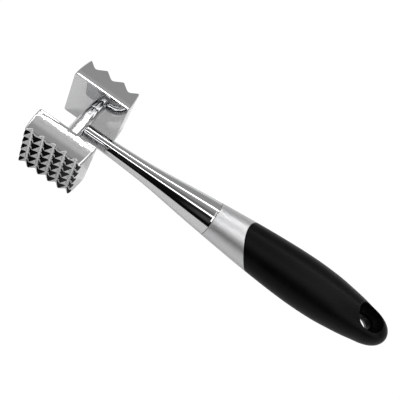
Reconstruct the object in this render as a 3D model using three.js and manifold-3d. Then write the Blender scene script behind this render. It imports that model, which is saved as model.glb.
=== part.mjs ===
// Two-faced meat mallet: a chromed head with a fine and a coarse pyramid face,
// a tapered chromed stem, a satin ferrule with a slanted rear edge and a black
// grip with a dished hanging hole.
//
// Millimetres. Everything is drawn about the middle of the head's cross rod
// (X along the handle towards the grip, Y from the fine face to the coarse
// face, Z up), and the whole group is then moved so that the origin lies at
// the middle of the object's footprint, on the surface it rests on.

import * as THREE from 'three';
import { mergeVertices } from 'three/addons/utils/BufferGeometryUtils.js';
import Module from 'manifold-3d';

const wasm = await Module();
wasm.setup();

// ---------------------------------------------------------------- dimensions
const GAP = 0.3;               // clearance between pieces that touch

// head
const INNER_Y = 16.6;          // rim of a block's inner face, from the middle
const CROWN = 2.0;             // the inner face is domed by this much
const CROWN_W = 17.6;          // half width of the dome
const TIP_Y = 32.5;            // tooth tips, from the middle
const HALF_W = 18.5;           // half width of a block at its flat land
const LAND_Y = [17.2, 20.0];   // flat land around the inner edge
const EDGE_R = 1.7;            // rounding of the long edges
const BODY = [                 // [distance from the middle, half width]
  [INNER_Y, 18.02], [16.8, 18.34], [LAND_Y[0], HALF_W], [LAND_Y[1], HALF_W],
  [22.2, 18.42], [24.4, 18.27], [26.6, 18.08], [28.6, 17.86], [30.6, 17.61],
  [TIP_Y, 17.35],
];
// the fine block's face has a flat bevel round it
const FINE_BODY = [...BODY.slice(0, -1), [31.0, 17.52], [TIP_Y, 16.85]];
const TIP_HALF = 17.35;        // half width across the tooth tips
const FINE_GROOVES = 5;        // 6 x 6 tips
const FINE_DEPTH = 2.9;
const FINE_FLOOR = 0.5;        // flat floor of a fine groove
const COARSE_GROOVES = 3;      // 4 x 4 tips
const COARSE_DEPTH = 4.4;
const COARSE_FLOOR = 1.3;
const TIP_FLAT = 0.3;          // a cast tip is blunt by this much

// cross rod and the threads it carries
const ROD_R = 4.5;
const NECK = [[8.0, 4.5], [10.5, 4.45], [12.5, 4.34], [14.0, 4.18]];  // the rod narrows towards each block
const NECK_R = 4.05;
const SPIGOT_R = 3.0;
const SPIGOT_END = 25.2;
const TIE_R = 2.5;
const TIE_HOLE_R = TIE_R + GAP;
const TIE_X = [-2.2, 146];

// handle outline: [distance from the rod, radius]
const OUTLINE = [
  [0, 4.58], [3.7, 4.58], [14.8, 4.66], [23.7, 4.95], [33.3, 5.4], [44.4, 6.06],
  [55.5, 7.02], [66.6, 8.3], [77.7, 9.6], [88.8, 10.8], [99.9, 11.9],
  [111.0, 12.97], [122.1, 14.0], [133.2, 14.88], [148.0, 15.83],
  [162.8, 16.32], [177.6, 15.98], [192.4, 14.53], [200.0, 13.5],
  [206.3, 12.34], [212.6, 11.2], [217.6, 9.54], [221.4, 7.18], [223.9, 4.16],
  [225.1, 0],
];
const HANDLE_END = 225.1;
const STEM_X = [ROD_R + GAP, 94.4];
const STEM_WALL = 1.6;
const FERRULE_X = 95.3;
const FERRULE_WALL = 1.0;
const SHELL_WALL = 3.0;
const CORE_X = [101.5, 186];
const CORE_STEP = 112.4;       // the core is thinner behind this, for the shell

// slanted seam between ferrule and grip, by angle from the top of the handle
const SEAM_MID = 123.4, SEAM_SLANT = 9.0, SEAM_CROWN = 1.85;
const SEAM_NOMINAL = 125;

// hanging hole: an oval throat that flares to a dish above and below
const HOLE_X = 207.2;
const HOLE_STRETCH = 1.8;      // half length of the oval's straight part
const HOLE = [                 // [height from the axis, half width]
  [0, 3.55], [2.4, 3.6], [3.4, 4.05], [5.0, 5.3], [7.0, 6.55], [9.0, 7.5],
  [11.5, 8.5], [15.0, 9.6],
];

const AROUND = 36;             // sides of the round pieces

// ------------------------------------------------------------------ helpers
// piecewise cubic that keeps the outline free of overshoot
function smooth(points) {
  const x = points.map(p => p[0]), y = points.map(p => p[1]), n = x.length;
  const d = [], m = new Array(n).fill(0);
  for (let i = 0; i < n - 1; i++) d.push((y[i + 1] - y[i]) / (x[i + 1] - x[i]));
  m[0] = d[0]; m[n - 1] = d[n - 2];
  for (let i = 1; i < n - 1; i++) {
    if (d[i - 1] * d[i] <= 0) { m[i] = 0; continue; }
    const h0 = x[i] - x[i - 1], h1 = x[i + 1] - x[i];
    const a = 2 * h1 + h0, b = h1 + 2 * h0;
    m[i] = (a + b) / (a / d[i - 1] + b / d[i]);
  }
  return v => {
    v = Math.min(Math.max(v, x[0]), x[n - 1]);
    let i = 0;
    while (i < n - 2 && v > x[i + 1]) i++;
    const h = x[i + 1] - x[i], t = (v - x[i]) / h, t2 = t * t, t3 = t2 * t;
    return (2 * t3 - 3 * t2 + 1) * y[i] + (t3 - 2 * t2 + t) * h * m[i]
      + (3 * t2 - 2 * t3) * y[i + 1] + (t3 - t2) * h * m[i + 1];
  };
}

// the handle's radius is read from its square, which keeps the end round
const radiusSquared = smooth(OUTLINE.map(([x, r]) => [x, r * r]));
const outer = x => Math.sqrt(Math.max(radiusSquared(x), 0));

const seam = (y, z) => {
  const r = Math.hypot(y, z) || 1;
  return SEAM_MID - SEAM_SLANT * z / r + SEAM_CROWN * (y / r) * (y / r);
};

function toSolid(geometry) {
  const g = geometry.clone();
  g.deleteAttribute('normal');
  g.deleteAttribute('uv');
  const m = mergeVertices(g, 1e-4);
  const p = m.attributes.position.array, idx = Array.from(m.index.array);
  const keep = [];
  let volume = 0;
  const at = i => new THREE.Vector3(p[3 * i], p[3 * i + 1], p[3 * i + 2]);
  for (let i = 0; i < idx.length; i += 3) {
    const [a, b, c] = [idx[i], idx[i + 1], idx[i + 2]];
    if (a === b || b === c || c === a) continue;
    keep.push(a, b, c);
    volume += at(a).dot(at(b).cross(at(c)));
  }
  if (volume < 0) {
    for (let i = 0; i < keep.length; i += 3) [keep[i + 1], keep[i + 2]] = [keep[i + 2], keep[i + 1]];
  }
  return new wasm.Manifold(new wasm.Mesh({
    numProp: 3,
    vertProperties: new Float32Array(p),
    triVerts: new Uint32Array(keep),
  }));
}

function toGeometry(solid) {
  const m = solid.getMesh();
  const g = new THREE.BufferGeometry();
  g.setAttribute('position', new THREE.BufferAttribute(new Float32Array(m.vertProperties), 3));
  g.setIndex(new THREE.BufferAttribute(new Uint32Array(m.triVerts), 1));
  g.computeVertexNormals();
  return g;
}

// profile of [distance along the handle, radius] turned about the X axis
function turnX(profile, sides = AROUND) {
  const g = new THREE.LatheGeometry(profile.map(([x, r]) => new THREE.Vector2(r, x)), sides);
  g.rotateZ(-Math.PI / 2);
  return g;
}

// the same about the Y axis
function turnY(profile, sides = AROUND) {
  return new THREE.LatheGeometry(profile.map(([y, r]) => new THREE.Vector2(r, y)), sides);
}

const closed = profile => [...profile, profile[0]];

function steps(a, b, n) {
  return Array.from({ length: n + 1 }, (_, i) => a + (b - a) * i / n);
}

// height of a block's domed inner face over its rim
function dome(x, y) {
  const u = Math.min(Math.abs(x) / CROWN_W, 1), v = Math.min(Math.abs(y) / CROWN_W, 1);
  return CROWN * (1 - u ** 4) * (1 - v ** 2);
}

// ---------------------------------------------------------------- materials
const chromeHead = () => new THREE.MeshStandardMaterial({ color: 0xd9dadb, roughness: 0.05, metalness: 1 });
const chromeStem = () => new THREE.MeshStandardMaterial({ color: 0xdcdddd, roughness: 0.04, metalness: 1 });
const satin = () => new THREE.MeshStandardMaterial({ color: 0xb4b5b6, roughness: 0.38, metalness: 1 });
const black = () => new THREE.MeshStandardMaterial({ color: 0x151515, roughness: 0.38, metalness: 0 });
const corePlastic = () => new THREE.MeshStandardMaterial({ color: 0x2a2a2c, roughness: 0.6, metalness: 0 });
const nylon = () => new THREE.MeshStandardMaterial({ color: 0xe3e0d6, roughness: 0.55, metalness: 0 });
const zincSteel = () => new THREE.MeshStandardMaterial({ color: 0x9fa1a3, roughness: 0.35, metalness: 1 });
const brass = () => new THREE.MeshStandardMaterial({ color: 0xb8923f, roughness: 0.35, metalness: 1 });
const rubber = () => new THREE.MeshStandardMaterial({ color: 0x101010, roughness: 0.8, metalness: 0 });

const mallet = new THREE.Group();
const head = new THREE.Group();
const handle = new THREE.Group();
mallet.add(head, handle);

function piece(parent, name, geometry, material) {
  const mesh = new THREE.Mesh(geometry, material);
  mesh.name = name;
  parent.add(mesh);
  return mesh;
}

// --------------------------------------------------------------------- head
// A block is drawn with its outward direction along +Z and turned at the end.
function block(body, grooves, depth, floor, turn) {
  const h = HALF_W, r = EDGE_R;
  const s = new THREE.Shape();
  s.moveTo(-h + r, -h);
  s.lineTo(h - r, -h);
  s.absarc(h - r, -h + r, r, -Math.PI / 2, 0, false);
  s.lineTo(h, h - r);
  s.absarc(h - r, h - r, r, 0, Math.PI / 2, false);
  s.lineTo(-h + r, h);
  s.absarc(-h + r, h - r, r, Math.PI / 2, Math.PI, false);
  s.lineTo(-h, -h + r);
  s.absarc(-h + r, -h + r, r, Math.PI, 1.5 * Math.PI, false);
  const n = body.length - 1;
  const g = new THREE.ExtrudeGeometry(s, { depth: n, steps: n, bevelEnabled: false, curveSegments: 4 });
  const p = g.attributes.position;
  for (let i = 0; i < p.count; i++) {
    const [y, w] = body[Math.round(p.getZ(i))];
    p.setXYZ(i, p.getX(i) * w / h, p.getY(i) * w / h, y);
  }
  let solid = toSolid(g);

  // the domed inner face
  const pillow = new THREE.BoxGeometry(2 * CROWN_W, 2 * CROWN_W, 3, 16, 16, 1);
  const q = pillow.attributes.position;
  for (let i = 0; i < q.count; i++) {
    const [x, y, inner] = [q.getX(i), q.getY(i), q.getZ(i) < 0];
    q.setZ(i, inner ? INNER_Y + 0.03 - dome(x, y) : INNER_Y + 3);
  }
  solid = solid.add(toSolid(pillow));

  const pitch = 2 * TIP_HALF / grooves;
  const wide = pitch / 2 - TIP_FLAT / 2, low = floor / 2;
  const v = new THREE.Shape([
    new THREE.Vector2(-wide, 0), new THREE.Vector2(-low, -depth),
    new THREE.Vector2(low, -depth), new THREE.Vector2(wide, 0),
    new THREE.Vector2(wide, 1.5), new THREE.Vector2(-wide, 1.5),
  ]);
  for (let i = 0; i < grooves; i++) {
    const c = -TIP_HALF + pitch * (i + 0.5);
    for (const across of [false, true]) {
      const cut = new THREE.ExtrudeGeometry(v, { depth: 44, steps: 1, bevelEnabled: false });
      cut.translate(c, 0, -22);
      cut.rotateX(Math.PI / 2);            // profile upwards along +Z, groove along Y
      if (across) cut.rotateZ(Math.PI / 2);
      cut.translate(0, 0, TIP_Y);
      solid = solid.subtract(toSolid(cut));
    }
  }
  // blind bore for the rod's threaded spigot
  const bore = new THREE.CylinderGeometry(SPIGOT_R + GAP, SPIGOT_R + GAP, 11.5, 32);
  bore.rotateX(Math.PI / 2);
  bore.translate(0, 0, SPIGOT_END + GAP - 5.75);
  solid = solid.subtract(toSolid(bore));

  const out = toGeometry(solid);
  out.rotateX(turn);
  return out;
}

piece(head, 'fine_block', block(FINE_BODY, FINE_GROOVES, FINE_DEPTH, FINE_FLOOR, Math.PI / 2), chromeHead());
piece(head, 'coarse_block', block(BODY, COARSE_GROOVES, COARSE_DEPTH, COARSE_FLOOR, -Math.PI / 2), chromeHead());

// cross rod with a threaded spigot at each end and a blind cross hole
{
  const shoulder = INNER_Y - dome(0, NECK_R) - GAP;
  const rod = toSolid(turnY([
    [-SPIGOT_END, 0], [-SPIGOT_END, SPIGOT_R - 0.5], [-SPIGOT_END + 0.5, SPIGOT_R],
    [-shoulder, SPIGOT_R], [-shoulder, NECK_R], ...[...NECK].reverse().map(([y, r]) => [-y, r]),
    ...NECK, [shoulder, NECK_R], [shoulder, SPIGOT_R],
    [SPIGOT_END - 0.5, SPIGOT_R], [SPIGOT_END, SPIGOT_R - 0.5], [SPIGOT_END, 0],
  ], 32));
  const hole = toSolid(turnX([[-2.6, 0], [-2.6, TIE_HOLE_R], [6, TIE_HOLE_R], [6, 0]], 20));
  piece(head, 'cross_rod', toGeometry(rod.subtract(hole)), chromeHead());
}

// ------------------------------------------------------------------- handle
piece(handle, 'tie_rod', toGeometry(toSolid(turnX([
  [TIE_X[0], 0], [TIE_X[0], TIE_R - 0.4], [TIE_X[0] + 0.4, TIE_R],
  [TIE_X[1] - 0.6, TIE_R], [TIE_X[1], TIE_R - 0.6], [TIE_X[1], 0],
], 20))), zincSteel());

// hollow tapered stem, solid at the nose apart from the rod's hole
{
  const [a, b] = STEM_X;
  const out = steps(a + 0.3, b - 0.25, 14).map(x => [x, outer(x)]);
  const inside = x => Math.max(TIE_HOLE_R + 0.15, outer(x) - STEM_WALL);
  const inn = steps(b, 15, 8).map(x => [x, inside(x)]);
  piece(handle, 'stem', toGeometry(toSolid(turnX(closed([
    [a, TIE_HOLE_R], [a, outer(a) - 0.3], ...out, [b, outer(b) - 0.25],
    ...inn, [14, TIE_HOLE_R],
  ])))), chromeStem());
}

// plug that centres the tie rod in the stem's mouth
{
  const x = [82, STEM_X[1] - 0.3];
  const fit = v => outer(v) - STEM_WALL - GAP;
  piece(handle, 'stem_bush', toGeometry(toSolid(turnX(closed([
    [x[0], TIE_HOLE_R], [x[0], fit(x[0]) - 0.5], [x[0] + 0.5, fit(x[0] + 0.5)],
    [88, fit(88)], [x[1], fit(x[1])], [x[1], TIE_HOLE_R],
  ]), 32))), nylon());
}

// washer and nut that clamp the stem against the cross rod
piece(handle, 'lock_washer', toGeometry(toSolid(turnX(closed([
  [94.4, TIE_HOLE_R], [94.4, 6.0], [94.6, 6.2], [95.2, 6.2], [95.4, 6.0], [95.4, TIE_HOLE_R],
]), 24))), zincSteel());
{
  const hex = new THREE.Shape();
  for (let i = 0; i < 6; i++) {
    const t = Math.PI / 6 + i * Math.PI / 3, r = 4 / Math.cos(Math.PI / 6);
    if (i) hex.lineTo(r * Math.cos(t), r * Math.sin(t)); else hex.moveTo(r * Math.cos(t), r * Math.sin(t));
  }
  hex.closePath();
  const hole = new THREE.Path();
  hole.absarc(0, 0, TIE_HOLE_R, 0, Math.PI * 2, true);
  hex.holes.push(hole);
  const g = new THREE.ExtrudeGeometry(hex, { depth: 4, steps: 1, bevelEnabled: false, curveSegments: 14 });
  g.rotateY(Math.PI / 2);
  g.translate(95.7, 0, 0);
  piece(handle, 'stem_nut', toGeometry(toSolid(g)), zincSteel());
}

// thin sealing ring between the stem's mouth and the ferrule
piece(handle, 'seam_gasket', toGeometry(toSolid(turnX(closed([
  [STEM_X[1] + 0.2, 8.2], [STEM_X[1] + 0.2, outer(94.8) - 0.3],
  [FERRULE_X - 0.2, outer(94.8) - 0.3], [FERRULE_X - 0.2, 8.2],
])))), rubber());

// ferrule: a thin sleeve with a turned-in lip in front and a slanted rear edge
{
  const a = FERRULE_X, b = SEAM_NOMINAL;
  const xs = steps(a + 0.25, b, 7);
  const profile = closed([
    [a, 7.6], [a, outer(a) - 0.25], ...xs.map(x => [x, outer(x)]),
    ...steps(b, a + 1.1, 5).map(x => [x, outer(x) - FERRULE_WALL]),
    [a + 1.1, 7.6],
  ]);
  const g = turnX(profile);
  const p = g.attributes.position;
  for (let i = 0; i < p.count; i++) {
    const x = p.getX(i), y = p.getY(i), z = p.getZ(i), r = Math.hypot(y, z);
    const w = Math.min(Math.max((x - 103) / (b - 103), 0), 1);
    if (w === 0) continue;
    const nx = x + (seam(y, z) - GAP / 2 - b) * w;
    const nr = outer(nx) + (r - outer(x));
    p.setXYZ(i, nx, y * nr / r, z * nr / r);
  }
  piece(handle, 'ferrule', toGeometry(toSolid(g)), satin());
}

// rigid core: its front carries the ferrule, the rest is under the shell
{
  const [a, b] = CORE_X;
  const front = x => outer(x) - FERRULE_WALL - GAP;
  const rear = x => outer(x) - SHELL_WALL - GAP;
  const out = [
    [a, front(a) - 0.8], [a + 0.8, front(a + 0.8)], [106, front(106)], [CORE_STEP, front(CORE_STEP)],
    [CORE_STEP, rear(CORE_STEP)], ...steps(118, b - 1.2, 7).map(x => [x, rear(x)]),
    [b, rear(b) - 1.2],
  ];
  piece(handle, 'grip_core', toGeometry(toSolid(turnX([
    ...[[150, 0], [150, TIE_HOLE_R], [140.3, TIE_HOLE_R], [140.3, 4.8], [118.3, 4.8],
      [118.3, TIE_HOLE_R], [a, TIE_HOLE_R]],
    ...out, [b, 0],
  ], 28))), corePlastic());
}

// threaded insert moulded into the core, with grooves that hold it
piece(handle, 'grip_insert', toGeometry(toSolid(turnX(closed([
  [118.6, TIE_HOLE_R], [118.6, 4.1], [119, 4.5], [123.5, 4.5], [124, 3.9], [126, 3.9],
  [126.5, 4.5], [132, 4.5], [132.5, 3.9], [134.5, 3.9], [135, 4.5], [139.6, 4.5],
  [140, 4.1], [140, TIE_HOLE_R],
]), 18))), brass());

// grip shell: front edge follows the slanted seam, closed round end, hole
{
  const b = SEAM_NOMINAL, cavity = CORE_X[1] + GAP;
  const inside = x => outer(x) - SHELL_WALL;
  const blend = 152;
  const tail = [...steps(b, 200, 11), 206.3, 212.6, 216.6, 219.6, 221.9, 223.6, 224.6];
  const profile = [
    [cavity, 0], [cavity, inside(cavity)],
    ...steps(cavity - 6, b, 6).map(x => [x, inside(x)]),
    ...tail.map(x => [x, outer(x)]), [HANDLE_END, 0],
  ];
  const g = turnX(profile);
  const p = g.attributes.position;
  for (let i = 0; i < p.count; i++) {
    const x = p.getX(i), y = p.getY(i), z = p.getZ(i), r = Math.hypot(y, z);
    if (x >= blend || r < 1e-6) continue;
    const w = (blend - x) / (blend - b);
    const nx = x + (seam(y, z) + GAP / 2 - b) * w;
    const nr = outer(nx) + (r - outer(x));
    p.setXYZ(i, nx, y * nr / r, z * nr / r);
  }
  let shell = toSolid(g);

  const up = HOLE.map(([z, w]) => new THREE.Vector2(w, z));
  const down = HOLE.slice(1).reverse().map(([z, w]) => new THREE.Vector2(w, -z));
  const top = HOLE[HOLE.length - 1][0];
  const c = new THREE.LatheGeometry([new THREE.Vector2(0, -top), ...down, ...up, new THREE.Vector2(0, top)], 28);
  c.rotateX(Math.PI / 2);
  const q = c.attributes.position;
  for (let i = 0; i < q.count; i++) {
    const x = q.getX(i), w = Math.hypot(x, q.getY(i));
    if (w < 1e-6) continue;
    q.setX(i, x + HOLE_STRETCH * x / w);
  }
  c.translate(HOLE_X, 0, 0);
  shell = shell.subtract(toSolid(c));
  piece(handle, 'grip_shell', toGeometry(shell), black());
}

// origin at the middle of the footprint, on the surface the head rests on
mallet.position.set(-(HANDLE_END - HALF_W) / 2, 0, HALF_W);

export default mallet;
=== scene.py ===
import bpy
import math
import numpy as np
from mathutils import Matrix, Vector


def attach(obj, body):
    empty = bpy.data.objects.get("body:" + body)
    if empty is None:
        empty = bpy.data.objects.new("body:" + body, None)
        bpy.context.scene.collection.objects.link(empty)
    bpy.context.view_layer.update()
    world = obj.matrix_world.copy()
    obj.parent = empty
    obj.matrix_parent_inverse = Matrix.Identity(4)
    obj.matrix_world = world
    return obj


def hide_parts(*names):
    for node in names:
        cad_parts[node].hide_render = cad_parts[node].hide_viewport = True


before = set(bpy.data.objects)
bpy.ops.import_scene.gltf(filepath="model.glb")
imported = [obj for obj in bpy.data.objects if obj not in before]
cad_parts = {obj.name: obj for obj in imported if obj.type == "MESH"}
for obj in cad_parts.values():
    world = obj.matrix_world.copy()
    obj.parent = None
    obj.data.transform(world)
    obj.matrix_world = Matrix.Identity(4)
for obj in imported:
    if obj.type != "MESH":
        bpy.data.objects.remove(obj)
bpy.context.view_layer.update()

# The pieces are drawn in millimetres about the middle of the head's cross rod,
# X along the handle to the grip, Y from the fine face to the coarse face, and
# moved to the row frame when their mesh is made.
OFFSET = np.array([-103.3, 0.0, 18.5])
MM = 0.001

# ------------------------------------------------------------------ dimensions
INNER_Y, TIP_Y = 16.6, 32.5
CROWN, CROWN_W = 2.0, 17.6        # the polished inner faces are slightly domed
HALF_W, TIP_HALF = 18.5, 17.35
CORNER_R = 1.4
BODY = [(17.2, 18.5), (20.0, 18.5), (22.2, 18.42), (24.4, 18.27), (26.6, 18.08),
        (28.6, 17.86), (30.6, 17.61), (32.5, 17.35)]
OUTLINE = [
    (0, 4.58), (3.7, 4.58), (14.8, 4.66), (23.7, 4.95), (33.3, 5.4), (44.4, 6.06),
    (55.5, 7.02), (66.6, 8.3), (77.7, 9.6), (88.8, 10.8), (99.9, 11.9), (111.0, 12.97),
    (122.1, 14.0), (133.2, 14.88), (148.0, 15.83), (162.8, 16.32), (177.6, 15.98),
    (192.4, 14.53), (200.0, 13.5), (206.3, 12.34), (212.6, 11.2), (217.6, 9.54),
    (221.4, 7.18), (223.9, 4.16), (225.1, 0.0)]
HANDLE_END = 225.1
ROD_R = 4.5
HOLE_X, HOLE_STRETCH = 207.2, 1.8
HOLE = [(0, 3.55), (2.4, 3.6), (3.4, 4.05), (5.0, 5.3), (7.0, 6.55), (9.0, 7.5),
        (11.5, 8.5), (15.0, 9.6)]
SEAM_MID, SEAM_SLANT, SEAM_CROWN = 123.4, 9.0, 1.85


# -------------------------------------------------------------------- helpers
def natural_spline(points):
    """C2 curve through the points."""
    x = np.array([p[0] for p in points], float)
    y = np.array([p[1] for p in points], float)
    n = len(x)
    h = np.diff(x)
    a = np.zeros((n, n))
    b = np.zeros(n)
    a[0, 0] = a[-1, -1] = 1.0
    for i in range(1, n - 1):
        a[i, i - 1], a[i, i], a[i, i + 1] = h[i - 1], 2 * (h[i - 1] + h[i]), h[i]
        b[i] = 6 * ((y[i + 1] - y[i]) / h[i] - (y[i] - y[i - 1]) / h[i - 1])
    m = np.linalg.solve(a, b)

    def f(v):
        v = np.clip(np.asarray(v, float), x[0], x[-1])
        i = np.clip(np.searchsorted(x, v) - 1, 0, n - 2)
        t0, t1 = v - x[i], x[i + 1] - v
        return (m[i] * t1 ** 3 + m[i + 1] * t0 ** 3) / (6 * h[i]) \
            + (y[i] / h[i] - m[i] * h[i] / 6) * t1 + (y[i + 1] / h[i] - m[i + 1] * h[i] / 6) * t0
    return f


def monotone_spline(points):
    x = np.array([p[0] for p in points], float)
    y = np.array([p[1] for p in points], float)
    n, d = len(x), np.diff(y) / np.diff(x)
    m = np.zeros(n)
    m[0], m[-1] = d[0], d[-1]
    for i in range(1, n - 1):
        if d[i - 1] * d[i] > 0:
            h0, h1 = x[i] - x[i - 1], x[i + 1] - x[i]
            a, b = 2 * h1 + h0, h1 + 2 * h0
            m[i] = (a + b) / (a / d[i - 1] + b / d[i])

    def f(v):
        v = np.clip(np.asarray(v, float), x[0], x[-1])
        i = np.clip(np.searchsorted(x, v) - 1, 0, n - 2)
        h = x[i + 1] - x[i]
        t = (v - x[i]) / h
        return (2 * t ** 3 - 3 * t ** 2 + 1) * y[i] + (t ** 3 - 2 * t ** 2 + t) * h * m[i] \
            + (3 * t ** 2 - 2 * t ** 3) * y[i + 1] + (t ** 3 - t ** 2) * h * m[i + 1]
    return f


def smoothstep(e0, e1, v):
    t = np.clip((np.asarray(v, float) - e0) / (e1 - e0), 0, 1)
    return t * t * (3 - 2 * t)


def smax(a, b, k):
    """Larger of two values, rounded over a width k where they cross."""
    h = np.maximum(k - np.abs(a - b), 0) / k
    return np.maximum(a, b) + h * h * k / 4


def smin(a, b, k):
    return -smax(-np.asarray(a), -np.asarray(b), k)


_squares = [(x, r * r) for x, r in OUTLINE]
_fine, _tail = natural_spline(_squares), monotone_spline(_squares)


def outer(x):
    """Radius of the handle's outline."""
    x = np.asarray(x, float)
    w = smoothstep(150, 190, x)
    return np.sqrt(np.maximum(_fine(x) * (1 - w) + _tail(x) * w, 0))


def seam(y, z):
    r = np.maximum(np.hypot(y, z), 1e-9)
    return SEAM_MID - SEAM_SLANT * z / r + SEAM_CROWN * (y / r) ** 2


class Build:
    """Collects points and faces of one mesh."""

    def __init__(self):
        self.points, self.faces, self.count = [], [], 0

    def add(self, p):
        p = np.asarray(p, float).reshape(-1, 3)
        self.points.append(p)
        start = self.count
        self.count += len(p)
        return np.arange(start, self.count)

    def quads(self, a, b, flip=False, wrap=True):
        """Faces between two rows of point numbers of equal length."""
        a, b = np.asarray(a), np.asarray(b)
        a2, b2 = np.roll(a, -1), np.roll(b, -1)
        if not wrap:
            a, b, a2, b2 = a[:-1], b[:-1], a2[:-1], b2[:-1]
        rows = np.stack([a, b, b2, a2] if flip else [a, a2, b2, b], 1)
        self.faces += [tuple(r) for r in rows.tolist()]

    def fan(self, ring, tip, flip=False):
        ring = np.asarray(ring)
        for i, j in zip(ring.tolist(), np.roll(ring, -1).tolist()):
            self.faces.append((i, tip, j) if flip else (i, j, tip))

    def make(self, name, node, regions=None, crease=None):
        """regions gives a material number from each face's middle; edges bent more than crease stay sharp."""
        pts = (np.concatenate(self.points) + OFFSET) * MM
        mesh = bpy.data.meshes.new(name)
        mesh.from_pydata(pts.tolist(), [], self.faces)
        mesh.validate()
        import bmesh
        bm = bmesh.new()
        bm.from_mesh(mesh)
        loose = [v for v in bm.verts if not v.link_faces]
        if loose:
            bmesh.ops.delete(bm, geom=loose, context="VERTS")
        bmesh.ops.recalc_face_normals(bm, faces=bm.faces)
        for f in bm.faces:
            f.smooth = True
            if regions is not None:
                f.material_index = regions(np.array(f.calc_center_median()) / MM - OFFSET, np.array(f.normal))
        if crease is not None:
            for e in bm.edges:
                if len(e.link_faces) == 2 and e.calc_face_angle(0.0) > math.radians(crease):
                    e.smooth = False
        bm.to_mesh(mesh)
        bm.free()
        obj = bpy.data.objects.new(name, mesh)
        bpy.context.scene.collection.objects.link(obj)
        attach(obj, "root")
        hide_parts(node)
        return obj


def turned(build, profile, axis, sides, closed):
    """Turns a profile of [along, radius] about X or Y. Its ends lie on the axis unless it is closed."""
    t = np.arange(sides) * 2 * math.pi / sides
    rows = []
    for along, radius in profile:
        if radius < 1e-9:
            p = [[along, 0, 0]] if axis == "X" else [[0, along, 0]]
            rows.append(build.add(p))
            continue
        c, s = radius * np.cos(t), radius * np.sin(t)
        a = np.full(sides, float(along))
        rows.append(build.add(np.stack([a, s, c], 1) if axis == "X" else np.stack([s, a, c], 1)))
    pairs = list(zip(rows, rows[1:] + rows[:1])) if closed else list(zip(rows, rows[1:]))
    for a, b in pairs:
        if len(a) == 1:
            build.fan(b, a[0], flip=True)
        elif len(b) == 1:
            build.fan(a, b[0])
        else:
            build.quads(a, b)
    return rows


# ------------------------------------------------------------------ materials
class Nodes:
    """Short way to write a material's node tree."""

    def __init__(self, name):
        self.mat = bpy.data.materials.new(name)
        self.mat.use_nodes = True
        self.tree = self.mat.node_tree
        self.tree.nodes.clear()
        self.out = self.new("ShaderNodeOutputMaterial")
        self.bsdf = self.new("ShaderNodeBsdfPrincipled")
        self.link(self.bsdf.outputs[0], self.out.inputs["Surface"])

    def new(self, kind, **props):
        n = self.tree.nodes.new(kind)
        for k, v in props.items():
            setattr(n, k, v)
        return n

    def link(self, a, b):
        self.tree.links.new(a, b)

    def place(self, scale=(1, 1, 1)):
        """Coordinates fixed to the piece, in metres times scale."""
        c = self.new("ShaderNodeTexCoord")
        m = self.new("ShaderNodeMapping")
        m.inputs["Scale"].default_value = scale
        self.link(c.outputs["Object"], m.inputs["Vector"])
        return m.outputs[0]

    def noise(self, vector, scale, detail=2.0, rough=0.5, distortion=0.0):
        n = self.new("ShaderNodeTexNoise")
        n.inputs["Scale"].default_value = scale
        n.inputs["Detail"].default_value = detail
        n.inputs["Roughness"].default_value = rough
        n.inputs["Distortion"].default_value = distortion
        self.link(vector, n.inputs["Vector"])
        return n.outputs[0]

    def ramp(self, value, lo, hi, a, b):
        """value from lo..hi mapped to a..b."""
        m = self.new("ShaderNodeMapRange")
        m.inputs["From Min"].default_value = lo
        m.inputs["From Max"].default_value = hi
        m.inputs["To Min"].default_value = a
        m.inputs["To Max"].default_value = b
        self.link(value, m.inputs["Value"])
        return m.outputs[0]

    def mix(self, factor, a, b):
        m = self.new("ShaderNodeMix", data_type="RGBA")
        m.inputs[6].default_value = (*a, 1)
        m.inputs[7].default_value = (*b, 1)
        self.link(factor, m.inputs[0])
        return m.outputs[2]

    def bump(self, height, strength, distance, normal=None):
        b = self.new("ShaderNodeBump")
        b.inputs["Strength"].default_value = strength
        b.inputs["Distance"].default_value = distance
        self.link(height, b.inputs["Height"])
        if normal is not None:
            self.link(normal, b.inputs["Normal"])
        return b.outputs[0]


def chrome(name, tint, rough, wave_scale, wave, band=None):
    """Polished chrome plate: soft waviness of the metal under it, faint wiping marks."""
    m = Nodes(name)
    b = m.bsdf
    b.inputs["Metallic"].default_value = 1.0
    p = m.place()
    shift = m.place((1.0, 1.3, 0.8))
    wear = m.noise(shift, 420.0, 4.0, 0.6)
    m.link(m.mix(m.ramp(wear, 0.35, 0.7, 0, 1), tint, tuple(t * 0.965 for t in tint)), b.inputs["Base Color"])
    m.link(m.ramp(wear, 0.3, 0.75, rough, rough * 2.2), b.inputs["Roughness"])
    soft = m.noise(p, wave_scale, 1.0, 0.45)
    fine = m.noise(p, wave_scale * 6, 2.0, 0.5)
    if band:                        # the waviness is strongest between two distances from the middle
        split = m.new("ShaderNodeSeparateXYZ")
        m.link(p, split.inputs[0])
        away = m.new("ShaderNodeMath", operation="ABSOLUTE")
        m.link(split.outputs[1], away.inputs[0])
        both = m.new("ShaderNodeMath", operation="MULTIPLY")
        m.link(m.ramp(away.outputs[0], band[0], band[1], 0.15, 1.0), both.inputs[0])
        m.link(m.ramp(away.outputs[0], band[2], band[3], 1.0, 0.15), both.inputs[1])
        wavy = m.new("ShaderNodeMath", operation="MULTIPLY")
        m.link(soft, wavy.inputs[0])
        m.link(both.outputs[0], wavy.inputs[1])
        soft = wavy.outputs[0]
    n = m.bump(soft, 1.0, wave)
    n = m.bump(fine, 1.0, wave * 0.02, n)
    m.link(n, b.inputs["Normal"])
    return m.mat


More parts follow.
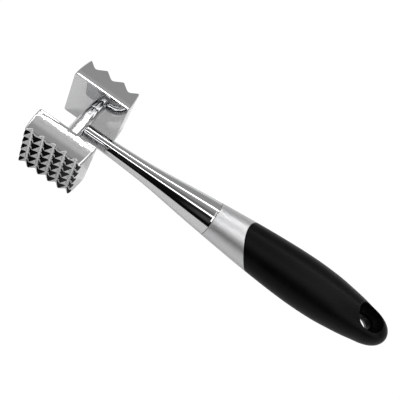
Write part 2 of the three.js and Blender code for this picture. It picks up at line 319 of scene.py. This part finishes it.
def satin(name):
    """Fine-blasted and brushed steel: short streaks round the sleeve, soft sheen."""
    m = Nodes(name)
    b = m.bsdf
    b.inputs["Metallic"].default_value = 1.0
    streak = m.noise(m.place((700, 260, 260)), 1.0, 4.0, 0.65)
    grain = m.noise(m.place(), 2600.0, 3.0, 0.6)
    cloud = m.noise(m.place(), 60.0, 2.0, 0.5)
    tone = m.new("ShaderNodeMath", operation="ADD")
    m.link(m.ramp(streak, 0.3, 0.7, 0.0, 0.6), tone.inputs[0])
    m.link(m.ramp(cloud, 0.3, 0.7, 0.0, 0.4), tone.inputs[1])
    m.link(m.mix(tone.outputs[0], (0.50, 0.503, 0.507), (0.55, 0.553, 0.557)), b.inputs["Base Color"])
    m.link(m.ramp(streak, 0.25, 0.75, 0.40, 0.47), b.inputs["Roughness"])
    n = m.bump(grain, 0.35, 0.00001)
    n = m.bump(streak, 0.30, 0.000008, n)
    m.link(n, b.inputs["Normal"])
    return m.mat


def moulded(name, colour, rough, grain_scale, grain, level=0.5):
    """Moulded plastic with a fine eroded grain and slightly uneven gloss."""
    m = Nodes(name)
    b = m.bsdf
    b.inputs["Specular IOR Level"].default_value = level
    p = m.place()
    g = m.noise(p, grain_scale, 3.0, 0.6)
    cloud = m.noise(p, 70.0, 3.0, 0.55)
    m.link(m.mix(m.ramp(cloud, 0.3, 0.7, 0, 1), colour, tuple(c * 1.25 + 0.0004 for c in colour)), b.inputs["Base Color"])
    m.link(m.ramp(cloud, 0.3, 0.72, rough * 0.92, rough * 1.12), b.inputs["Roughness"])
    n = m.bump(g, 0.5, grain)
    m.link(n, b.inputs["Normal"])
    return m.mat


def plain_metal(name, colour, rough, scale):
    m = Nodes(name)
    b = m.bsdf
    b.inputs["Metallic"].default_value = 1.0
    w = m.noise(m.place(), scale, 4.0, 0.6)
    m.link(m.mix(m.ramp(w, 0.3, 0.7, 0, 1), colour, tuple(c * 0.8 for c in colour)), b.inputs["Base Color"])
    m.link(m.ramp(w, 0.3, 0.7, rough * 0.8, rough * 1.3), b.inputs["Roughness"])
    m.link(m.bump(w, 0.3, 0.00002), b.inputs["Normal"])
    return m.mat


CHROME = (0.555, 0.558, 0.562)
mat_head = chrome("head_chrome", CHROME, 0.018, 500.0, 0.000056, (0.0178, 0.0190, 0.0218, 0.0240))
mat_far = chrome("far_head_chrome", CHROME, 0.018, 160.0, 0.000008)
# the teeth wear a lighter copy of the head's chrome: painted brightness that stands in for the brighter floor their
# facets mirror
mat_teeth_painted_lighter = chrome("teeth_chrome_painted_lighter", (0.64, 0.643, 0.647), 0.02, 300.0, 0.000002)
mat_face = chrome("face_chrome", CHROME, 0.012, 60.0, 0.000003)
# the rod wears a lighter copy of the chrome: painted brightness, so its reflections read lighter than the plating
# gives
mat_rod_painted_lighter = chrome("rod_chrome", (0.60, 0.603, 0.607), 0.10, 160.0, 0.000004)
mat_stem = chrome("stem_chrome", CHROME, 0.02, 140.0, 0.00001)
mat_ferrule = satin("ferrule_satin")
mat_grip = moulded("grip_black", (0.0005, 0.0005, 0.0005), 0.36, 3200.0, 0.000010, 0.065)
mat_core = moulded("core_plastic", (0.022, 0.022, 0.024), 0.6, 1500.0, 0.00003)
mat_bush = moulded("bush_nylon", (0.72, 0.70, 0.64), 0.5, 900.0, 0.00002)
mat_steel = plain_metal("plated_steel", (0.62, 0.63, 0.64), 0.34, 600.0)
mat_brass = plain_metal("insert_brass", (0.66, 0.47, 0.2), 0.34, 500.0)
mat_rubber = moulded("gasket_rubber", (0.02, 0.02, 0.02), 0.7, 1800.0, 0.00002)


def wear_it(obj, *mats):
    obj.data.materials.clear()
    for mat in mats:
        obj.data.materials.append(mat)


# --------------------------------------------------------------------- blocks
_width = natural_spline([(14.4, 18.5)] + BODY)


def crown(a, b):
    """Height of the domed inner face over its rim."""
    u, v = np.minimum(np.abs(a) / CROWN_W, 1), np.minimum(np.abs(b) / CROWN_W, 1)
    return CROWN * (1 - u ** 4) * (1 - v ** 2)


def body_width(y):
    return np.where(np.asarray(y) < 19.2, HALF_W, np.minimum(_width(y), HALF_W))


def rounded_square(s, t, w, r):
    """A square grid of (s, t) from -1 to 1 laid over a square of half width w with corners of radius r."""
    a, b = s * w, t * w
    i = w - r
    u, v = (np.abs(a) - i) / r, (np.abs(b) - i) / r
    inside = (u > 0) & (v > 0)
    big = np.maximum(u, v)
    small = np.minimum(u, v)
    angle = math.pi / 4 * np.divide(small, big, out=np.zeros_like(big), where=big > 1e-9)
    angle = np.where(u >= v, angle, math.pi / 2 - angle)
    a = np.where(inside, np.sign(a) * (i + big * np.cos(angle) * r), a)
    b = np.where(inside, np.sign(b) * (i + big * np.sin(angle) * r), b)
    return a, b


def bevel(y, slope):
    """How much the flat bevel round a face narrows the block at this distance from the middle."""
    v = np.maximum(np.asarray(y, float) - 30.85, 0)
    return slope * np.where(v < 0.3, v * v / 0.6, v - 0.15)


def block(piece, node, side, grooves, depth, floor, per_half, round_valley, round_tip, blend, lip, slope):
    def half_width(y):
        return body_width(y) - bevel(y, tilt)

    tilt = slope
    pitch = 2 * TIP_HALF / grooves
    wide, low = pitch / 2 - 0.15, floor / 2
    steep = depth / (wide - low)

    def cut(a):
        e = np.abs(a + TIP_HALF - pitch * (np.clip(np.floor((a + TIP_HALF) / pitch), 0, grooves - 1) + 0.5))
        g = steep * (wide - e)
        g = smin(g, depth, round_valley)
        return smax(g, 0.0, round_tip)

    def height(a, b):
        return TIP_Y - smax(cut(a), cut(b), blend)

    n = grooves * 2 * per_half
    k = CORNER_R / HALF_W
    s = np.linspace(-1, 1, n + 1)
    S, T = np.meshgrid(s, s, indexing="ij")
    A, B = rounded_square(S, T, TIP_HALF, TIP_HALF * k)
    outline_a, outline_b = A.copy(), B.copy()
    if tilt:                                   # the last lines of the grid stay inside the bevel
        limit, edge_w = 16.35, float(half_width(TIP_Y)) - lip - 0.08
        for G in (A, B):
            big = np.abs(G) > limit
            G[big] = np.sign(G[big]) * (limit + (np.abs(G[big]) - limit) * (edge_w - limit) / (TIP_HALF - limit))
    H = height(A, B)

    m = Build()

    def to_space(a, b, h):
        # a runs along the handle and b upwards; the block faces out along side
        return np.stack([np.ravel(a), side * np.ravel(h), np.ravel(b)], 1)

    # edge of the square grid, once round
    idx = [(0, j) for j in range(n)] + [(i, n) for i in range(n)] \
        + [(n, j) for j in range(n, 0, -1)] + [(i, 0) for i in range(n, 0, -1)]
    ei, ej = np.array([q[0] for q in idx]), np.array([q[1] for q in idx])
    ua, ub = outline_a[ei, ej] / TIP_HALF, outline_b[ei, ej] / TIP_HALF

    # outward direction of the rounded square at each edge point
    na = np.sign(ua) * np.maximum(np.abs(ua) - (1 - k), 0)
    nb = np.sign(ub) * np.maximum(np.abs(ub) - (1 - k), 0)
    ln = np.maximum(np.hypot(na, nb), 1e-9)
    na, nb = na / ln, nb / ln

    top = height(ua * TIP_HALF, ub * TIP_HALF)
    for _ in range(8):
        w = half_width(top)
        top = height(ua * w - na * lip, ub * w - nb * lip)
    w = half_width(top)
    A[ei, ej], B[ei, ej], H[ei, ej] = ua * w - na * lip, ub * w - nb * lip, top

    grid = m.add(to_space(A, B, H)).reshape(n + 1, n + 1)
    for i in range(n):
        for j in range(n):
            q = (grid[i, j], grid[i + 1, j], grid[i + 1, j + 1], grid[i, j + 1])
            # split along the pyramid's own ridges
            d0 = abs(H[i, j] - H[i + 1, j + 1])
            d1 = abs(H[i + 1, j] - H[i, j + 1])
            mid = height(0.25 * (A[i, j] + A[i + 1, j] + A[i, j + 1] + A[i + 1, j + 1]),
                         0.25 * (B[i, j] + B[i + 1, j] + B[i, j + 1] + B[i + 1, j + 1]))
            e0 = abs(mid - 0.5 * (H[i, j] + H[i + 1, j + 1]))
            e1 = abs(mid - 0.5 * (H[i + 1, j] + H[i, j + 1]))
            if e0 <= e1:
                m.faces += [(q[0], q[1], q[2]), (q[0], q[2], q[3])]
            else:
                m.faces += [(q[0], q[1], q[3]), (q[1], q[2], q[3])]

    rows = [grid[ei, ej]]
    for deg in (75, 60, 45, 30, 15):
        c, sn = math.cos(math.radians(deg)), math.sin(math.radians(deg))
        rows.append(m.add(to_space(ua * w - na * lip * (1 - c), ub * w - nb * lip * (1 - c), top - lip * (1 - sn))))

    # side walls, from under the rounded rim to the start of the inner fillet
    fillet = 0.6 if side < 0 else 0.35
    start, end = top - lip, INNER_Y + fillet
    levels = 60
    for q in range(levels + 1):
        f = (q / levels) ** 1.3
        y = start + (end - start) * f
        ww = half_width(y)
        a, b = ua * ww, ub * ww
        # the polished casting isn't quite flat: a faint crease runs along the upper land
        lift = 0.0
        if side < 0:
            line = np.interp(a, [-18.5, -17.5, -15, -12, -9, -5, 0, 4, 8, 13, 18.5],
                             [22.4, 21.3, 19.4, 18.8, 18.2, 18.0, 17.75, 17.6, 17.4, 17.1, 16.9])
            lift = -0.05 * smoothstep(-0.4, 0.4, line - y) * np.clip(nb, 0, 1)
        else:                       # the far block's top is a little rounded off towards its inner edge
            over = np.maximum(17.95 - y, 0)
            lift = -0.05 * np.where(over < 0.3, over * over / 0.6, over - 0.15) * np.clip(nb, 0, 1)
        rows.append(m.add(to_space(a, b + lift, y)))
    for deg in (10, 20, 30, 40, 50, 60, 70, 80, 90):
        c, sn = math.cos(math.radians(deg)), math.sin(math.radians(deg))
        inset = fillet * (1 - c)
        drop = (0.05 if side < 0 else 0.03) * np.clip(nb, 0, 1)
        rows.append(m.add(to_space(ua * HALF_W - na * inset, ub * HALF_W - nb * inset - drop,
                                   np.full(len(ua), INNER_Y + fillet * (1 - sn)))))
    # domed inner face, in rings that shrink to a round blind bore
    flat_a, flat_b = ua * HALF_W - na * fillet, ub * HALF_W - nb * fillet
    bore = 3.3
    ang = np.arctan2(flat_b, flat_a)
    ra, rb = bore * np.cos(ang), bore * np.sin(ang)
    for f in [0.004, 0.012, 0.024] + list(np.linspace(0.04, 1.0, 40)):
        pa, pb = flat_a + (ra - flat_a) * f, flat_b + (rb - flat_b) * f
        rows.append(m.add(to_space(pa, pb, INNER_Y - crown(pa, pb))))
    rows.append(m.add(to_space(ra, rb, np.full(len(ua), INNER_Y + 0.05))))
    rows.append(m.add(to_space(ra, rb, np.full(len(ua), 25.4))))
    tip = m.add(to_space([0.0], [0.0], [25.6]))[0]
    for p, q in zip(rows, rows[1:]):
        m.quads(p, q)
    m.fan(rows[-1], tip)

    def region(c, normal):
        y = side * c[1]
        if y < (17.3 if side < 0 else 18.1):
            return 2
        # faces of the teeth take material 1, the painted-lighter copy of the chrome
        return 1 if side * normal[1] > 0.35 and y > TIP_Y - depth - 1.0 else 0

    obj = m.make(piece, node, region, 32)
    wear_it(obj, mat_head if side < 0 else mat_far, mat_teeth_painted_lighter, mat_face)
    return obj


block("fine_block_plated", "fine_block", -1, 5, 2.9, 0.5, 11, 0.05, 0.05, 0.04, 0.12, 0.31)
block("coarse_block_plated", "coarse_block", 1, 3, 4.4, 1.3, 18, 0.9, 0.12, 0.1, 0.25, 0.0)


# ------------------------------------------------------------------ cross rod
def cross_rod():
    m = Build()
    tip_r, edge = 4.1, 0.16
    end = INNER_Y - float(crown(0, tip_r)) - 0.03
    taper = [(8.0, 4.5), (9.0, 4.493), (10.0, 4.475), (11.0, 4.44), (12.0, 4.385), (13.0, 4.31), (14.0, 4.21),
             (end - 0.2, tip_r)]
    half = [(25.2, 0.0), (25.2, 2.6)]
    y = 24.8
    while y > 17.6:                       # threaded spigot, as rings of thread
        half += [(y, 2.95), (y - 0.18, 2.98), (y - 0.4, 2.6), (y - 0.6, 2.6)]
        y -= 0.8
    half += [(16.9, 2.6), (end, 2.6), (end, tip_r - edge), (end - 0.06, tip_r - edge * 0.45),
             (end - 0.13, tip_r - edge * 0.12)]
    neck = monotone_spline(taper)
    half += [(v, float(neck(v))) for v in np.linspace(end - 0.2, 8.0, 26)]
    one = half + [(v, ROD_R) for v in np.linspace(7.4, 0, 16)]
    profile = [(-y, r) for y, r in one] + [(y, r) for y, r in reversed(one[:-1])]
    turned(m, profile, "Y", 160, False)
    obj = m.make("cross_rod_polished", "cross_rod", None, 40)
    # the rod's material is the painted-lighter chrome copy
    wear_it(obj, mat_rod_painted_lighter)


cross_rod()


# ----------------------------------------------------------------------- stem
STEM_A, STEM_B = 4.62, 94.68


def stem():
    m = Build()
    a, b, e = STEM_A, STEM_B, 0.10
    hole, nose = 2.8, 0.08
    front = [(a, hole), (a, float(outer(a)) - nose)]
    front += [(a + nose * (1 - math.cos(math.radians(d))), float(outer(a)) - nose * (1 - math.sin(math.radians(d))))
              for d in (30, 60)]
    side = [(x, float(outer(x))) for x in np.linspace(a + nose, b - e, 96)]
    rim = [(b - e * (1 - math.sin(math.radians(d))), float(outer(b)) - e * (1 - math.cos(math.radians(d))))
           for d in (30, 60, 90)]
    inside = [(x, max(hole + 0.15, float(outer(x)) - 1.6)) for x in np.linspace(b, 15, 24)]
    turned(m, front + side + rim + inside + [(14, hole)], "X", 216, True)
    obj = m.make("stem_polished", "stem", None, 50)
    wear_it(obj, mat_stem)


stem()


# --------------------------------------------------------------------- gasket
FERRULE_A = 94.92


def gasket():
    m = Build()
    mid = (STEM_B + FERRULE_A) / 2
    r = float(outer(mid)) - 0.10
    turned(m, [(STEM_B + 0.01, 8.2), (STEM_B + 0.01, r - 0.05), (STEM_B + 0.06, r), (mid, r + 0.02),
               (FERRULE_A - 0.06, r), (FERRULE_A - 0.01, r - 0.05), (FERRULE_A - 0.01, 8.2), (mid, 8.15)],
           "X", 200, True)
    obj = m.make("seam_ring", "seam_gasket")
    wear_it(obj, mat_rubber)


gasket()


# -------------------------------------------------------------------- ferrule
SEAM_SIDES = 240


def ferrule():
    m = Build()
    t = np.arange(SEAM_SIDES) * 2 * math.pi / SEAM_SIDES
    sy, cz = np.sin(t), np.cos(t)
    end = seam(sy, cz) - 0.10
    a, e = FERRULE_A, 0.10

    def ring(x, r):
        return m.add(np.stack([x, r * sy, r * cz], 1))

    one = np.ones(SEAM_SIDES)
    rows = [ring(a * one, 7.6 * one), ring(a * one, 9.5 * one)]
    for d in (90, 60, 30):
        c, s_ = math.cos(math.radians(d)), math.sin(math.radians(d))
        x = (a + e * (1 - s_)) * one
        rows.append(ring(x, outer(a + e) - e * (1 - c)))
    for f in np.linspace(0, 1, 60):
        x = (a + e) * (1 - f) + (end - e) * f
        rows.append(ring(x, outer(x)))
    for d in (30, 60, 90):
        c, s_ = math.cos(math.radians(d)), math.sin(math.radians(d))
        x = end - e * (1 - s_)
        rows.append(ring(x, outer(x) - e * (1 - c)))
    for f in np.linspace(0, 1, 14):
        x = end * (1 - f) + (a + 1.1) * f
        rows.append(ring(x, outer(x) - 1.0))
    rows.append(ring((a + 1.1) * one, 7.6 * one))
    for p, q in zip(rows, rows[1:] + rows[:1]):
        m.quads(p, q)
    obj = m.make("ferrule_satin_sleeve", "ferrule")
    wear_it(obj, mat_ferrule)


ferrule()


# ----------------------------------------------------------------- grip shell
def grip_shell():
    m = Build()
    sides = SEAM_SIDES
    t = np.arange(sides) * 2 * math.pi / sides
    sy, cz = np.sin(t), np.cos(t)
    start = seam(sy, cz) + 0.10
    e = 0.22
    throat, clear, reach = 3.6, 1.9, 10.6
    dish = monotone_spline([(w, z) for z, w in HOLE[1:]])

    def offset(x, y):
        dx = x - HOLE_X
        px = np.clip(dx, -HOLE_STRETCH, HOLE_STRETCH)
        return dx - px, y, px

    def sink(p):
        """Points of the outer skin, moved outwards from the hole's middle and down into its dish."""
        x, y, z = p[:, 0], p[:, 1], p[:, 2]
        ox, oy, px = offset(x, y)
        w = np.hypot(ox, oy)
        near = w < reach
        f = np.where(near, throat + np.maximum(w - clear, 0) * (reach - throat) / (reach - clear), w)
        k = f / np.maximum(w, 1e-6)
        nx = np.where(near, HOLE_X + px + ox * k, x)
        ny = np.where(near, oy * k, y)
        # the skin's own height there
        r = outer(nx)
        hz = np.sqrt(np.maximum(r * r - ny * ny, 0.0))
        own = np.where(near & (np.abs(ny) < r * 0.985), hz, np.abs(z))
        low = dish(np.clip(f, 3.6, 9.6))
        new = np.where(f < 9.6, smin(own, low, 1.1), own)
        new = np.where(near, new, np.abs(z))
        return np.stack([nx, ny, np.sign(z) * new], 1), w

    rows = []
    for d in (0, 30, 60):
        c, s_ = math.cos(math.radians(d)), math.sin(math.radians(d))
        x = start + e * (1 - c)
        r = outer(x) - e * (1 - s_)
        rows.append(m.add(np.stack([x, r * sy, r * cz], 1)))
    blend = 150.0
    for f in np.linspace(0, 1, 44):
        x = (start + e) * (1 - f) + blend * f
        r = outer(x)
        rows.append(m.add(np.stack([x, r * sy, r * cz], 1)))
    for x in np.linspace(blend, 192, 56)[1:]:
        r = outer(x)
        rows.append(m.add(np.stack([np.full(sides, x), r * sy, r * cz], 1)))
    # from here on the rows pass the hole
    tail = list(np.linspace(192, 221.4, 92)[1:])
    u = np.linspace(0, 1, 16)[1:-1]
    tail += [float(v) for v in HANDLE_END - (HANDLE_END - 221.4) * (1 - u) ** 2]
    ws = []
    for x in tail:
        r = float(outer(x))
        p, w = sink(np.stack([np.full(sides, x), r * sy, r * cz], 1))
        w = np.where(np.abs(r * cz) < 1e-6, 99.0, w)
        rows.append(m.add(p))
        ws.append(w)
    first = len(rows) - len(tail)
    for i, (a, b) in enumerate(zip(rows, rows[1:])):
        if i < first:
            m.quads(a, b)
            continue
        wa, wb = ws[i - first], ws[i - first + 1]
        a2, b2 = np.roll(a, -1), np.roll(b, -1)
        keep = (wa >= clear) & (wb >= clear) & (np.roll(wa, -1) >= clear) & (np.roll(wb, -1) >= clear)
        q = np.stack([a, a2, b2, b], 1)[keep]
        m.faces += [tuple(v) for v in q.tolist()]
    tip = m.add([[HANDLE_END, 0, 0]])[0]
    m.fan(rows[-1], tip)

    # front edge and the cavity round the core
    inner_rows = [rows[0]]
    x = start
    inner_rows.append(m.add(np.stack([x, (outer(x) - 3.0) * sy, (outer(x) - 3.0) * cz], 1)))
    for f in np.linspace(0, 1, 9)[1:]:
        x = start * (1 - f) + 186.3 * f
        inner_rows.append(m.add(np.stack([x, (outer(x) - 3.0) * sy, (outer(x) - 3.0) * cz], 1)))
    for a, b in zip(inner_rows, inner_rows[1:]):
        m.quads(b, a)
    back = m.add([[186.3, 0, 0]])[0]
    m.fan(inner_rows[-1], back, flip=True)

    # throat: the open edge above is joined to the same edge below
    pts = np.concatenate(m.points)
    edges = {}
    for f in m.faces:
        for p, q in zip(f, f[1:] + f[:1]):
            edges[(p, q)] = edges.get((p, q), 0) + 1
    rim = {q: p for (p, q) in edges if (q, p) not in edges}
    loops, left = [], set(rim)
    while left:
        v = left.pop()
        loop, w = [v], rim[v]
        while w != v and w in rim:
            loop.append(w)
            left.discard(w)
            w = rim[w]
        loops.append(loop)
    up = [l for l in loops if pts[l][:, 2].mean() > 0 and abs(pts[l][:, 0].mean() - HOLE_X) < 4]
    down = [l for l in loops if pts[l][:, 2].mean() < 0 and abs(pts[l][:, 0].mean() - HOLE_X) < 4]
    if len(up) != 1 or len(down) != 1 or len(loops) != 2:
        raise ValueError(f"the hole's edges aren't two loops: {[len(l) for l in loops]}")
    up, down = up[0], down[0]
    for l in (up, down):                       # exactly on the oval
        for v in l:
            ox, oy, px = offset(pts[v, 0], pts[v, 1])
            k = throat / math.hypot(ox, oy)
            pts[v] = [HOLE_X + px + ox * k, oy * k, math.copysign(2.4, pts[v, 2])]
    m.points = [pts]
    lower = {(round(pts[v, 0], 4), round(pts[v, 1], 4)): v for v in down}
    partner = [lower.get((round(pts[v, 0], 4), round(pts[v, 1], 4))) for v in up]
    if None in partner:
        raise ValueError("the hole's edges don't match")
    ring = up
    for z in (1.6, 0.8, 0.0, -0.8, -1.6):
        k = (3.55 + 0.02 * abs(z)) / throat
        p = []
        for v in up:
            ox, oy, px = offset(pts[v, 0], pts[v, 1])
            p.append([HOLE_X + px + ox * k, oy * k, z])
        new = m.add(p).tolist()
        m.quads(ring, new)
        ring = new
    m.quads(ring, partner)
    obj = m.make("grip_shell_moulded", "grip_shell")
    wear_it(obj, mat_grip)
    return obj


grip_shell()

# -------------------------------------------------------- inner pieces' finish
for node, mat in (("tie_rod", mat_steel), ("stem_bush", mat_bush), ("lock_washer", mat_steel),
                  ("stem_nut", mat_steel), ("grip_core", mat_core), ("grip_insert", mat_brass)):
    wear_it(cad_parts[node], mat)

# ---------------------------------------------------------------- floor, light
scene = bpy.context.scene


def floor():
    n, size = 24, 6.0
    v = [((i / n - 0.5) * size, (j / n - 0.5) * size, -0.0001) for j in range(n + 1) for i in range(n + 1)]
    f = [(j * (n + 1) + i, j * (n + 1) + i + 1, (j + 1) * (n + 1) + i + 1, (j + 1) * (n + 1) + i)
         for j in range(n) for i in range(n)]
    mesh = bpy.data.meshes.new("floor")
    mesh.from_pydata(v, [], f)
    obj = bpy.data.objects.new("floor", mesh)
    scene.collection.objects.link(obj)
    m = bpy.data.materials.new("floor_white")
    m.use_nodes = True
    t = m.node_tree
    t.nodes.clear()
    out = t.nodes.new("ShaderNodeOutputMaterial")
    diffuse = t.nodes.new("ShaderNodeBsdfDiffuse")
    diffuse.inputs["Color"].default_value = (0.26, 0.26, 0.26, 1)
    fill = t.nodes.new("ShaderNodeEmission")
    fill.inputs["Color"].default_value = (1, 1, 1, 1)
    fill.inputs["Strength"].default_value = 0.44
    lit = t.nodes.new("ShaderNodeAddShader")
    t.links.new(diffuse.outputs[0], lit.inputs[0])
    t.links.new(fill.outputs[0], lit.inputs[1])
    glow = t.nodes.new("ShaderNodeEmission")
    glow.inputs["Color"].default_value = (1, 1, 1, 1)
    glow.inputs["Strength"].default_value = 1.04
    mix = t.nodes.new("ShaderNodeMixShader")
    path = t.nodes.new("ShaderNodeLightPath")
    share = t.nodes.new("ShaderNodeMath")
    share.operation = "MULTIPLY"
    share.inputs[1].default_value = 0.94
    t.links.new(path.outputs["Is Camera Ray"], share.inputs[0])
    t.links.new(share.outputs[0], mix.inputs[0])
    t.links.new(lit.outputs[0], mix.inputs[1])
    t.links.new(glow.outputs[0], mix.inputs[2])
    t.links.new(mix.outputs[0], out.inputs["Surface"])
    obj.data.materials.append(m)


floor()


def studio():
    """Soft studio round the object, by direction: a grey backdrop, two strip softboxes along the handle
    (one behind and above, one overhead), and a dark room on the camera's side."""
    world = bpy.data.worlds.new("studio")
    scene.world = world
    world.use_nodes = True
    t = world.node_tree
    t.nodes.clear()

    def node(kind, **props):
        n = t.nodes.new(kind)
        for k, v in props.items():
            setattr(n, k, v)
        return n

    def math_node(op, a, b=None, c=None, clamp=False):
        n = node("ShaderNodeMath", operation=op, use_clamp=clamp)
        for i, v in enumerate((a, b, c)):
            if v is None:
                continue
            if isinstance(v, (int, float)):
                n.inputs[i].default_value = v
            else:
                t.links.new(v, n.inputs[i])
        return n.outputs[0]

    coord = node("ShaderNodeTexCoord")
    xyz = node("ShaderNodeSeparateXYZ")
    t.links.new(coord.outputs["Generated"], xyz.inputs[0])
    x, y, z = xyz.outputs
    # angle over the backdrop's horizon (+Y), 0 to 180 degrees up and over to the camera's side
    phi = math_node("MULTIPLY", math_node("ARCTAN2", z, y), 180 / math.pi)
    ramp = node("ShaderNodeValToRGB")
    stops = [(0, 0.60), (8, 0.50), (22, 0.45), (48, 0.47), (53, 0.60), (63, 1.0), (66, 0.86), (69, 0.70), (71.5, 0.50),
             (77, 0.43), (84, 0.42), (88, 0.36), (91, 0.28), (94, 0.225), (102, 0.225), (106, 0.5), (114, 0.5),
             (118, 0.12), (122, 0.03), (126, 0.010), (130, 0.006), (150, 0.006), (175, 0.004), (180, 0.05)]
    e = ramp.color_ramp.elements
    while len(e) < len(stops):
        e.new(0.5)
    for s, (a, v) in zip(e, stops):
        s.position = a / 180
        s.color = (v, v, v, 1)
    t.links.new(math_node("DIVIDE", phi, 180.0, clamp=True), ramp.inputs[0])
    sky = node("ShaderNodeSeparateColor")
    t.links.new(ramp.outputs[0], sky.inputs[0])
    base = sky.outputs[0]

    def box(angle, lo, hi, soft, strength, x0, x1, soft_x):
        """A softbox between two angles, and between two values of x."""
        def edge(v, e0, e1):
            n = node("ShaderNodeMapRange", interpolation_type="SMOOTHSTEP")
            n.inputs["From Min"].default_value = e0
            n.inputs["From Max"].default_value = e1
            t.links.new(v, n.inputs["Value"])
            return n.outputs[0]
        a = math_node("MULTIPLY", edge(angle, lo - soft, lo + soft), edge(angle, hi + soft, hi - soft))
        b = math_node("MULTIPLY", edge(x, x0 - soft_x, x0 + soft_x), edge(x, x1 + soft_x, x1 - soft_x))
        return math_node("MULTIPLY", math_node("MULTIPLY", a, b), strength)

    right = math_node("MAXIMUM", x, 0.0)
    bend = math_node("MULTIPLY", right, right)
    back_phi = math_node("ADD", phi, math_node("MULTIPLY", bend, 20.0))
    top_phi = math_node("SUBTRACT", phi, math_node("MULTIPLY", bend, 60.0))
    total = math_node("ADD", base, box(back_phi, 54.7, 61.2, 0.9, 7.5, 0.045, 0.66, 0.012))
    total = math_node("ADD", total, box(phi, 56.2, 61.2, 0.9, 9.0, -0.86, -0.055, 0.012))
    total = math_node("ADD", total, box(phi, 52, 66, 3, 0.40, -0.055, 0.045, 0.012))
    total = math_node("ADD", total, box(phi, 72, 108, 6, 0.95, -0.055, 0.045, 0.012))
    total = math_node("ADD", total, box(phi, 109.2, 114, 1.2, 6.0, -0.80, -0.02, 0.03))
    total = math_node("ADD", total, box(top_phi, 108, 116, 3, 0.75, 0.045, 0.72, 0.012))
    total = math_node("ADD", total, box(phi, 109.2, 116, 1.5, 5.5, -0.02, 0.045, 0.012))
    total = math_node("ADD", total, box(phi, 100, 108, 2, 0.40, 0.045, 0.50, 0.012))
    total = math_node("ADD", total, box(phi, 132, 156, 7, 0.075, -0.15, -0.03, 0.05))
    total = math_node("ADD", total, box(phi, 118, 140, 4, 4.2, -0.05, 0.045, 0.012))
    total = math_node("ADD", total, box(phi, 66, 124, 8, 2.4, 0.17, 0.60, 0.04))
    total = math_node("ADD", total, box(phi, 122, 136, 5, 1.6, 0.17, 0.60, 0.04))
    total = math_node("ADD", total, box(phi, 118, 139, 3, 0.30, 0.05, 0.20, 0.02))
    total = math_node("ADD", total, box(phi, 116, 142, 4, 0.85, -0.95, -0.32, 0.05))
    total = math_node("ADD", total, box(phi, 131, 156, 4, 3.0, 0.56, 0.92, 0.05))
    # below the horizon there is only the floor
    below = node("ShaderNodeMapRange")
    below.inputs["From Min"].default_value = -0.01
    below.inputs["From Max"].default_value = 0.0
    t.links.new(z, below.inputs["Value"])
    lit = node("ShaderNodeMix", data_type="FLOAT")
    t.links.new(below.outputs[0], lit.inputs[0])
    lit.inputs[2].default_value = 0.85
    t.links.new(total, lit.inputs[3])
    path = node("ShaderNodeLightPath")
    seen = node("ShaderNodeMix", data_type="FLOAT")
    t.links.new(path.outputs["Is Camera Ray"], seen.inputs[0])
    t.links.new(lit.outputs[0], seen.inputs[2])
    seen.inputs[3].default_value = 1.04
    back = node("ShaderNodeBackground")
    back.inputs["Color"].default_value = (1, 1, 1, 1)
    t.links.new(seen.outputs[0], back.inputs["Strength"])
    out = node("ShaderNodeOutputWorld")
    t.links.new(back.outputs[0], out.inputs["Surface"])


studio()


def softbox(name, location, target, size, power):
    """A large soft light that brightens the floor; the polished pieces don't mirror it."""
    light = bpy.data.lights.new(name, "AREA")
    light.shape = "SQUARE"
    light.size = size
    light.energy = power
    obj = bpy.data.objects.new(name, light)
    scene.collection.objects.link(obj)
    obj.location = location
    obj.rotation_mode = "QUATERNION"
    obj.rotation_quaternion = (Vector(target) - Vector(location)).to_track_quat("-Z", "Y")
    obj.visible_camera = False
    obj.visible_glossy = False


softbox("key", (-0.50, 0.36, 1.25), (-0.1, 0, 0), 0.20, 14.0)

# --------------------------------------------------------------------- camera
camera = bpy.data.cameras.new("camera")
camera.lens = 49.997
camera.sensor_width = 36.0
camera.sensor_fit = "HORIZONTAL"
camera.clip_start, camera.clip_end = 0.02, 20.0
eye = bpy.data.objects.new("camera", camera)
scene.collection.objects.link(eye)
right = Vector((0.81798157, 0.43620487, 0.37500861))
up = Vector((-0.57017781, 0.70114121, 0.42813346))
back = -Vector((0.07618008, 0.56402687, -0.82223493))
eye.matrix_world = Matrix((
    (right.x, up.x, back.x, -0.045946),
    (right.y, up.y, back.y, -0.182790),
    (right.z, up.z, back.z, 0.294093),
    (0, 0, 0, 1)))
scene.camera = eye
scene.view_settings.view_transform = "Standard"
scene.view_settings.look = "None"
